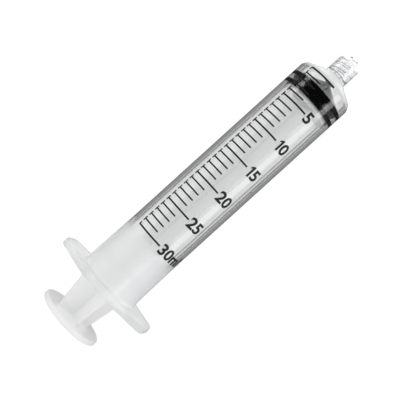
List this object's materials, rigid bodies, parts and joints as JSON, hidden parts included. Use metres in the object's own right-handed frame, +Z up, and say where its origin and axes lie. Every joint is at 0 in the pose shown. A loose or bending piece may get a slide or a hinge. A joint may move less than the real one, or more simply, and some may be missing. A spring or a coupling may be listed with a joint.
{
  "type": "luer lock syringe",
  "caption": "Disposable syringe with a threaded lock collar round its nozzle, a winged finger flange, a ribbed rubber stopper and a crossed-vane plunger rod.",
  "frame": {"origin": "on the syringe's axis, at the end face of the nozzle", "axes": "+X out of the nozzle along the axis, +Z up, with the flange's wings along Y and its flat long side down"},
  "size_m": [0.1407, 0.0444, 0.0284],
  "materials": {
    "clear_plastic": "clear, glossy",
    "black_rubber": "lightly oiled",
    "milky_plastic": "satin, translucent"
  },
  "bodies": {
    "barrel": {"barrel": "clear_plastic"},
    "stopper": {"stopper": "black_rubber"},
    "plunger": {"plunger_rod": "milky_plastic"}
  },
  "joints": [
    {"name": "stopper_slide", "type": "slide", "parent": "barrel", "child": "stopper", "axis": [-1, 0, 0], "range_m": [-0.0034, 0.0875]},
    {"name": "rod_spin", "type": "hinge", "parent": "stopper", "child": "plunger", "pos_m": [-0.02411, 0, 0], "axis": [1, 0, 0], "continuous": true}
  ]
}
